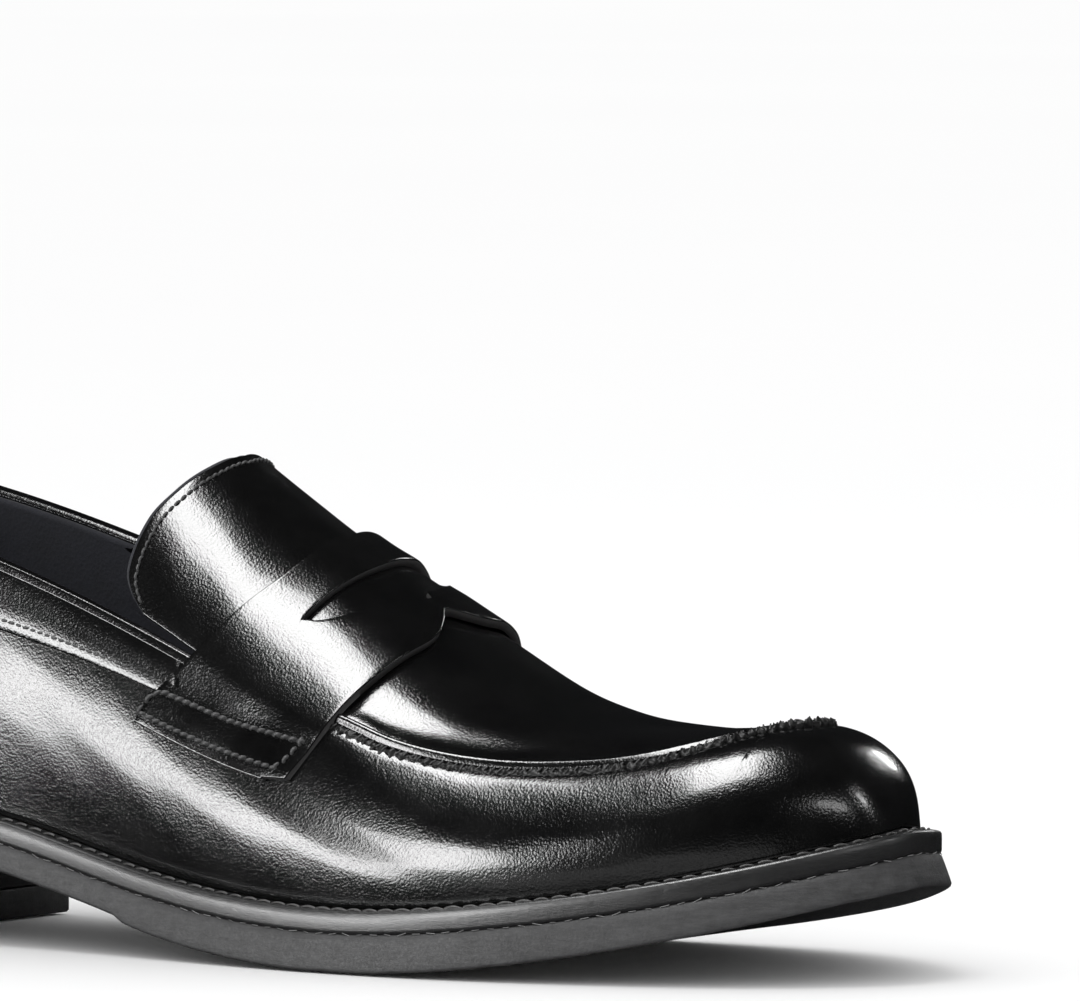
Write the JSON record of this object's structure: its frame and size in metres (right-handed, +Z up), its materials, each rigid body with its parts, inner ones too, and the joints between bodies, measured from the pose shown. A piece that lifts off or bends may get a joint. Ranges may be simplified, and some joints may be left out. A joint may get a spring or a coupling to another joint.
{
  "type": "penny loafer",
  "caption": "Slip-on leather loafer, right foot, with a saddle strap and coin slot, a sewn apron, a tongue, a welted rubber sole and a low block heel.",
  "frame": {"origin": "on the ground below the middle of the sole's bounding box", "axes": "+X towards the toe, +Y towards the inner side of the foot, +Z up"},
  "size_m": [0.2758, 0.0934, 0.0938],
  "materials": {
    "black_leather": "polished black box calf with a glossy finish",
    "navy_lining": "matt dark navy lining leather",
    "blue_lining": "matt blue heel lining suede",
    "rubber": "matt dark grey moulded rubber",
    "welt_strip": "dyed and waxed welt leather",
    "stacked_heel": "dark stacked heel with fine layers",
    "fibre_board": "matt cellulose board",
    "foam": "matt soft foam",
    "cork": "matt ground cork",
    "steel": "plain bright steel"
  },
  "bodies": {
    "shoe": {"vamp": "black_leather", "apron_plug": "black_leather", "saddle_strap": "black_leather", "lateral_quarter": "black_leather", "medial_quarter": "black_leather", "lateral_collar_band": "black_leather", "medial_collar_band": "black_leather", "counter_patch": "black_leather", "back_strip": "black_leather", "topline_binding": "black_leather", "lateral_quarter_lining": "navy_lining", "medial_quarter_lining": "navy_lining", "vamp_lining": "navy_lining", "sock_liner": "navy_lining", "heel_lining": "blue_lining", "outsole": "rubber", "heel_top_piece": "rubber", "welt": "welt_strip", "heel_block": "stacked_heel", "toe_puff": "fibre_board", "counter_stiffener": "fibre_board", "insole_board": "fibre_board", "insole_foam": "foam", "heel_pad": "foam", "cork_filler": "cork", "steel_shank": "steel", "heel_nail_1": "steel", "heel_nail_2": "steel", "heel_nail_3": "steel", "heel_nail_4": "steel", "heel_nail_5": "steel"},
    "tongue": {"tongue": "black_leather", "tongue_lining": "navy_lining"}
  },
  "joints": [
    {"name": "tongue_flex", "type": "hinge", "parent": "shoe", "child": "tongue", "pos_m": [0.0095, 0, 0.0795], "axis": [0, 1, 0], "range_deg": [0, 22], "stiffness_Nm_per_rad": 0.03}
  ]
}
